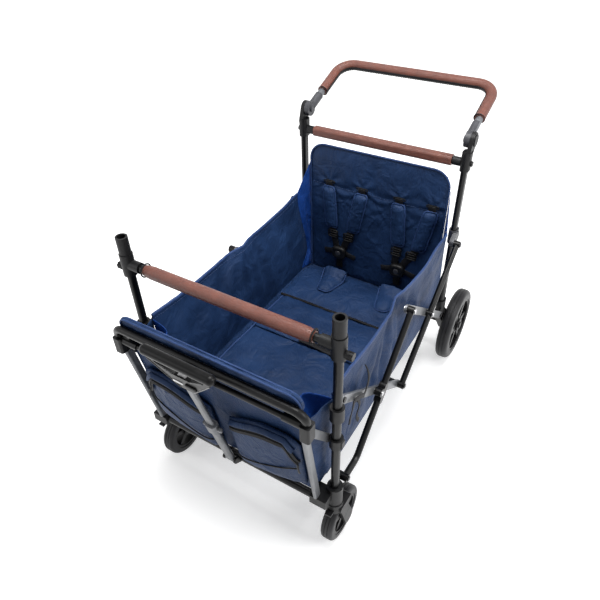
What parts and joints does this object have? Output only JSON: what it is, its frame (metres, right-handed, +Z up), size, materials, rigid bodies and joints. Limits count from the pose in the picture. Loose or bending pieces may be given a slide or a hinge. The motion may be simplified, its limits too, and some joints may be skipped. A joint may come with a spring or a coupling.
{
  "type": "stroller wagon",
  "caption": "Folding stroller wagon: fabric tub on side scissors, wrapped cross bars, swivel front casters, hinged push handle behind and telescopic pull handle in front.",
  "frame": {"origin": "on the floor under the middle of the overall box, in the wagon's centre plane", "axes": "+Z up, -Y towards the pull handle at the front, +Y towards the push handle, X across the wagon"},
  "size_m": [0.666, 1.2414, 0.9732],
  "materials": {
    "black_metal": "satin black powder coat",
    "grey_metal": "grey powder coat",
    "steel": "bare rivet steel",
    "black_plastic": "fine-grained black moulding",
    "grey_plastic": "fine-grained grey moulding",
    "gloss_plastic": "polished black",
    "wheel_plastic": "black moulding",
    "tyre": "smooth foam-filled rubber",
    "leather": "stitched brown leatherette",
    "navy_cloth": "navy polyester, fine weave",
    "blue_nylon": "thin bright blue nylon",
    "webbing": "ribbed black webbing"
  },
  "bodies": {
    "front_frame": {"front_posts": "black_metal", "front_bar": "black_metal", "front_bar_grip": "leather", "post_fittings": "black_plastic", "caster_housings": "black_plastic", "front_beam": "black_metal", "front_stays": "grey_metal", "hoop_blocks": "black_plastic", "front_hoop": "black_metal", "front_panel": "navy_cloth", "front_pockets": "navy_cloth", "tub_side_left": "navy_cloth", "tub_side_right": "navy_cloth", "tub_floor": "navy_cloth", "floor_mat": "navy_cloth", "corner_gussets": "blue_nylon"},
    "knob_left": {"front_knob_left": "black_plastic"},
    "knob_right": {"front_knob_right": "black_plastic"},
    "caster_left": {"caster_fork_left": "black_plastic"},
    "caster_right": {"caster_fork_right": "black_plastic"},
    "swivel_lock_left": {"caster_lock_left": "black_plastic"},
    "swivel_lock_right": {"caster_lock_right": "black_plastic"},
    "front_wheel_left": {"caster_hub_left": "wheel_plastic", "caster_tyre_left": "tyre"},
    "front_wheel_right": {"caster_hub_right": "wheel_plastic", "caster_tyre_right": "tyre"},
    "pull_stem": {"pull_tube_lower": "grey_metal"},
    "pull_extension": {"pull_tube_upper": "grey_metal", "pull_yoke": "gloss_plastic", "pull_grip": "gloss_plastic"},
    "pull_release": {"pull_button": "steel"},
    "lower_front": {"lower_front_arms": "black_metal", "front_pivot_pins": "steel"},
    "upper_front": {"upper_front_arms": "grey_metal", "cross_tube": "black_metal"},
    "upper_rear": {"upper_rear_arms": "black_metal"},
    "lower_rear": {"lower_rear_arms": "grey_metal", "rear_pivot_pins": "steel"},
    "front_slides": {"front_collars": "black_plastic"},
    "rear_slides": {"rear_collars": "grey_plastic"},
    "rear_frame": {"rear_posts": "black_metal", "rear_bar": "black_metal", "rear_bar_grip": "leather", "rear_fittings": "black_plastic", "rear_legs": "black_plastic", "rear_axle": "black_metal", "backrest": "navy_cloth", "harness_pads": "navy_cloth", "harness_webbing": "webbing", "harness_buckles": "black_plastic"},
    "brake": {"brake_pedal": "black_plastic"},
    "rear_wheel_left": {"rear_hub_left": "wheel_plastic", "rear_tyre_left": "tyre"},
    "rear_wheel_right": {"rear_hub_right": "wheel_plastic", "rear_tyre_right": "tyre"},
    "handle": {"handle_knuckles": "grey_plastic", "push_handle": "grey_metal", "push_grip": "leather"},
    "handle_release_left": {"handle_button_left": "grey_plastic"},
    "handle_release_right": {"handle_button_right": "grey_plastic"}
  },
  "joints": [
    {"name": "fold", "type": "hinge", "parent": "front_frame", "child": "lower_front", "pos_m": [0, -0.40453, 0.265], "axis": [1, 0, 0], "range_deg": [0, 30], "deforming": ["tub_side_left", "tub_side_right", "tub_floor", "floor_mat", "corner_gussets"]},
    {"name": "fold_upper_front", "type": "hinge", "parent": "lower_front", "child": "upper_front", "pos_m": [0, -0.22153, 0.4125], "axis": [1, 0, 0], "range_deg": [-60, 0]},
    {"name": "fold_upper_rear", "type": "hinge", "parent": "upper_front", "child": "upper_rear", "pos_m": [0, -0.03853, 0.265], "axis": [1, 0, 0], "range_deg": [0, 60]},
    {"name": "fold_lower_rear", "type": "hinge", "parent": "lower_front", "child": "lower_rear", "pos_m": [0, -0.03853, 0.56], "axis": [1, 0, 0], "range_deg": [-60, 0]},
    {"name": "fold_rear_frame", "type": "hinge", "parent": "lower_rear", "child": "rear_frame", "pos_m": [0, 0.32747, 0.265], "axis": [1, 0, 0], "range_deg": [0, 30]},
    {"name": "fold_front_slides", "type": "hinge", "parent": "upper_front", "child": "front_slides", "pos_m": [0, -0.40453, 0.56], "axis": [1, 0, 0], "range_deg": [0, 30]},
    {"name": "fold_rear_slides", "type": "hinge", "parent": "upper_rear", "child": "rear_slides", "pos_m": [0, 0.32747, 0.56], "axis": [1, 0, 0], "range_deg": [-30, 0]},
    {"name": "knob_turn_left", "type": "hinge", "parent": "front_frame", "child": "knob_left", "pos_m": [-0.289, -0.44053, 0.743], "axis": [-1, 0, 0], "continuous": true},
    {"name": "caster_swivel_left", "type": "hinge", "parent": "front_frame", "child": "caster_left", "pos_m": [-0.289, -0.44053, 0.18], "axis": [0, 0, 1], "continuous": true},
    {"name": "swivel_lock_left_tilt", "type": "hinge", "parent": "caster_left", "child": "swivel_lock_left", "pos_m": [-0.289, -0.45753, 0.178], "axis": [1, 0, 0], "range_deg": [0, 25]},
    {"name": "front_wheel_left_spin", "type": "hinge", "parent": "caster_left", "child": "front_wheel_left", "pos_m": [-0.284, -0.39953, 0.081], "axis": [1, 0, 0], "continuous": true},
    {"name": "rear_wheel_left_spin", "type": "hinge", "parent": "rear_frame", "child": "rear_wheel_left", "pos_m": [-0.307, 0.46147, 0.134], "axis": [1, 0, 0], "continuous": true},
    {"name": "handle_button_left_press", "type": "slide", "parent": "handle", "child": "handle_release_left", "axis": [-1, 0, 0], "range_m": [0, 0.004], "stiffness_N_per_m": 600},
    {"name": "knob_turn_right", "type": "hinge", "parent": "front_frame", "child": "knob_right", "pos_m": [0.289, -0.44053, 0.743], "axis": [1, 0, 0], "continuous": true},
    {"name": "caster_swivel_right", "type": "hinge", "parent": "front_frame", "child": "caster_right", "pos_m": [0.289, -0.44053, 0.18], "axis": [0, 0, 1], "continuous": true},
    {"name": "swivel_lock_right_tilt", "type": "hinge", "parent": "caster_right", "child": "swivel_lock_right", "pos_m": [0.289, -0.45753, 0.178], "axis": [1, 0, 0], "range_deg": [0, 25]},
    {"name": "front_wheel_right_spin", "type": "hinge", "parent": "caster_right", "child": "front_wheel_right", "pos_m": [0.284, -0.39953, 0.081], "axis": [1, 0, 0], "continuous": true},
    {"name": "rear_wheel_right_spin", "type": "hinge", "parent": "rear_frame", "child": "rear_wheel_right", "pos_m": [0.307, 0.46147, 0.134], "axis": [1, 0, 0], "continuous": true},
    {"name": "handle_button_right_press", "type": "slide", "parent": "handle", "child": "handle_release_right", "axis": [1, 0, 0], "range_m": [0, 0.004], "stiffness_N_per_m": 600},
    {"name": "pull_handle_tilt", "type": "hinge", "parent": "front_frame", "child": "pull_stem", "pos_m": [0, -0.49853, 0.25], "axis": [1, 0, 0], "range_deg": [0, 80]},
    {"name": "pull_handle_extend", "type": "slide", "parent": "pull_stem", "child": "pull_extension", "axis": [0, -0.2334, 0.9724], "range_m": [0, 0.12]},
    {"name": "pull_button_press", "type": "slide", "parent": "pull_extension", "child": "pull_release", "axis": [0, 0.2334, -0.9724], "range_m": [0, 0.004], "stiffness_N_per_m": 600},
    {"name": "push_handle_tilt", "type": "hinge", "parent": "rear_frame", "child": "handle", "pos_m": [0, 0.38247, 0.874], "axis": [1, 0, 0], "range_deg": [-60, 70]},
    {"name": "brake_pedal_tilt", "type": "hinge", "parent": "rear_frame", "child": "brake", "pos_m": [0, 0.46147, 0.134], "axis": [1, 0, 0], "range_deg": [0, 30]}
  ],
  "couplings": [
    {"joint": "fold_upper_front", "follows": "fold", "ratio": -2},
    {"joint": "fold_upper_rear", "follows": "fold", "ratio": 2},
    {"joint": "fold_lower_rear", "follows": "fold", "ratio": -2},
    {"joint": "fold_rear_frame", "follows": "fold", "ratio": 1},
    {"joint": "fold_front_slides", "follows": "fold", "ratio": 1},
    {"joint": "fold_rear_slides", "follows": "fold", "ratio": -1}
  ]
}
